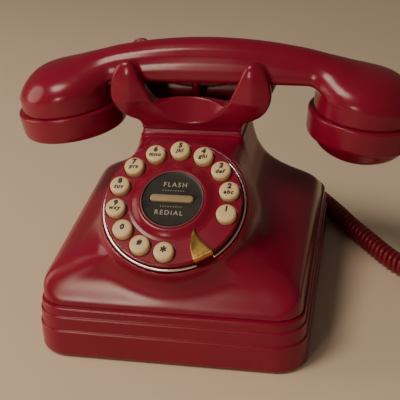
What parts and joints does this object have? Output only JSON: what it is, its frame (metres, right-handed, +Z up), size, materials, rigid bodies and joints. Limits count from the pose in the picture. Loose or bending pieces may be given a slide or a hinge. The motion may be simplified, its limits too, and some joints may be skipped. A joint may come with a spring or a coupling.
{
  "type": "cradle telephone",
  "caption": "Burgundy french-style desk telephone: flared base with stepped plinth, round push-button dial with a finger stop, open pronged cradle, arched handset and curly cord.",
  "frame": {"origin": "middle of the flat pad under the base, on the table", "axes": "+X to the right along the handset, -Y towards the dial at the front, +Z up"},
  "size_m": [0.2793, 0.2259, 0.1461],
  "materials": {
    "red_plastic": "polished moulded burgundy plastic",
    "cream_keys": "satin cream plastic with printed black legends",
    "black_disc": "black printed card under a clear cover",
    "gold_stop": "polished gold-coloured plating",
    "chrome_ring": "bright chrome",
    "cord_vinyl": "glossy burgundy vinyl",
    "plug_plastic": "translucent plug plastic",
    "black_plastic": "fine-textured black plastic",
    "pad_rubber": "soft black rubber",
    "mat_rubber": "grey silicone rubber",
    "plate_steel": "black painted sheet steel",
    "zinc_steel": "zinc-plated steel",
    "circuit_board": "green solder mask",
    "ballast_iron": "bare iron",
    "capsule_metal": "satin aluminium"
  },
  "bodies": {
    "base": {"base_pad": "pad_rubber", "base_plate": "plate_steel", "base_screws": "zinc_steel", "plinth": "red_plastic", "upper_housing": "red_plastic", "housing_screws": "zinc_steel", "cradle": "red_plastic", "cradle_screws": "zinc_steel", "dial_plate": "red_plastic", "trim_ring": "chrome_ring", "finger_stop": "gold_stop", "centre_disc": "black_disc", "key_mat": "mat_rubber", "key_board": "circuit_board", "dial_screws": "zinc_steel", "main_board": "circuit_board", "board_screws": "zinc_steel", "ballast": "ballast_iron", "ringer_speaker": "black_plastic", "hook_bracket": "zinc_steel", "hook_pin": "zinc_steel", "hook_switch": "black_plastic", "line_jack": "black_plastic", "cord_jack": "black_plastic", "cord_plug_base": "plug_plastic", "curly_cord": "cord_vinyl", "switch_bodies": "black_plastic"},
    "handset": {"handset_grip": "red_plastic", "earpiece_cap": "red_plastic", "mouthpiece_cap": "red_plastic", "receiver_capsule": "capsule_metal", "microphone_capsule": "capsule_metal", "ear_gasket": "pad_rubber", "mic_holder": "black_plastic", "handset_weight": "ballast_iron", "handset_jack": "black_plastic", "cord_plug_handset": "plug_plastic"},
    "plunger": {"hook_plunger": "red_plastic"},
    "lever": {"hook_lever": "zinc_steel"},
    "rocker": {"function_rocker": "cream_keys"},
    "ringer_slider": {"ringer_switch": "black_plastic"},
    "tone_slider": {"tone_switch": "black_plastic"},
    "key_1_body": {"key_1": "cream_keys"},
    "key_2_body": {"key_2": "cream_keys"},
    "key_3_body": {"key_3": "cream_keys"},
    "key_4_body": {"key_4": "cream_keys"},
    "key_5_body": {"key_5": "cream_keys"},
    "key_6_body": {"key_6": "cream_keys"},
    "key_7_body": {"key_7": "cream_keys"},
    "key_8_body": {"key_8": "cream_keys"},
    "key_9_body": {"key_9": "cream_keys"},
    "key_0_body": {"key_0": "cream_keys"},
    "key_hash_body": {"key_hash": "cream_keys"},
    "key_star_body": {"key_star": "cream_keys"}
  },
  "joints": [
    {"name": "handset_lift", "type": "slide", "parent": "base", "child": "handset", "axis": [0, 0, 1], "range_m": [0, 0.15]},
    {"name": "hook_rise", "type": "slide", "parent": "base", "child": "plunger", "axis": [0, 0, 1], "range_m": [0, 0.005]},
    {"name": "hook_lever_turn", "type": "hinge", "parent": "base", "child": "lever", "pos_m": [-0.018, 0.016, 0.084], "axis": [0, -1, 0], "range_deg": [0, 16]},
    {"name": "rocker_tilt", "type": "hinge", "parent": "base", "child": "rocker", "pos_m": [0, -0.05675, 0.08119], "axis": [1, 0, 0], "range_deg": [-6, 6], "stiffness_Nm_per_rad": 0.01},
    {"name": "ringer_slide", "type": "slide", "parent": "base", "child": "ringer_slider", "axis": [1, 0, 0], "range_m": [-0.003, 0.003]},
    {"name": "tone_slide", "type": "slide", "parent": "base", "child": "tone_slider", "axis": [1, 0, 0], "range_m": [-0.004, 0]},
    {"name": "key_1_press", "type": "slide", "parent": "base", "child": "key_1_body", "axis": [0, 0.5664, -0.8241], "range_m": [0, 0.002], "stiffness_N_per_m": 250, "springref_m": -0.001},
    {"name": "key_2_press", "type": "slide", "parent": "base", "child": "key_2_body", "axis": [0, 0.5664, -0.8241], "range_m": [0, 0.002], "stiffness_N_per_m": 250, "springref_m": -0.001},
    {"name": "key_3_press", "type": "slide", "parent": "base", "child": "key_3_body", "axis": [0, 0.5664, -0.8241], "range_m": [0, 0.002], "stiffness_N_per_m": 250, "springref_m": -0.001},
    {"name": "key_4_press", "type": "slide", "parent": "base", "child": "key_4_body", "axis": [0, 0.5664, -0.8241], "range_m": [0, 0.002], "stiffness_N_per_m": 250, "springref_m": -0.001},
    {"name": "key_5_press", "type": "slide", "parent": "base", "child": "key_5_body", "axis": [0, 0.5664, -0.8241], "range_m": [0, 0.002], "stiffness_N_per_m": 250, "springref_m": -0.001},
    {"name": "key_6_press", "type": "slide", "parent": "base", "child": "key_6_body", "axis": [0, 0.5664, -0.8241], "range_m": [0, 0.002], "stiffness_N_per_m": 250, "springref_m": -0.001},
    {"name": "key_7_press", "type": "slide", "parent": "base", "child": "key_7_body", "axis": [0, 0.5664, -0.8241], "range_m": [0, 0.002], "stiffness_N_per_m": 250, "springref_m": -0.001},
    {"name": "key_8_press", "type": "slide", "parent": "base", "child": "key_8_body", "axis": [0, 0.5664, -0.8241], "range_m": [0, 0.002], "stiffness_N_per_m": 250, "springref_m": -0.001},
    {"name": "key_9_press", "type": "slide", "parent": "base", "child": "key_9_body", "axis": [0, 0.5664, -0.8241], "range_m": [0, 0.002], "stiffness_N_per_m": 250, "springref_m": -0.001},
    {"name": "key_0_press", "type": "slide", "parent": "base", "child": "key_0_body", "axis": [0, 0.5664, -0.8241], "range_m": [0, 0.002], "stiffness_N_per_m": 250, "springref_m": -0.001},
    {"name": "key_hash_press", "type": "slide", "parent": "base", "child": "key_hash_body", "axis": [0, 0.5664, -0.8241], "range_m": [0, 0.002], "stiffness_N_per_m": 250, "springref_m": -0.001},
    {"name": "key_star_press", "type": "slide", "parent": "base", "child": "key_star_body", "axis": [0, 0.5664, -0.8241], "range_m": [0, 0.002], "stiffness_N_per_m": 250, "springref_m": -0.001}
  ],
  "couplings": [
    {"joint": "hook_rise", "follows": "handset_lift", "ratio": 0.033},
    {"joint": "hook_lever_turn", "follows": "handset_lift", "rad_per_m": 1.78}
  ]
}
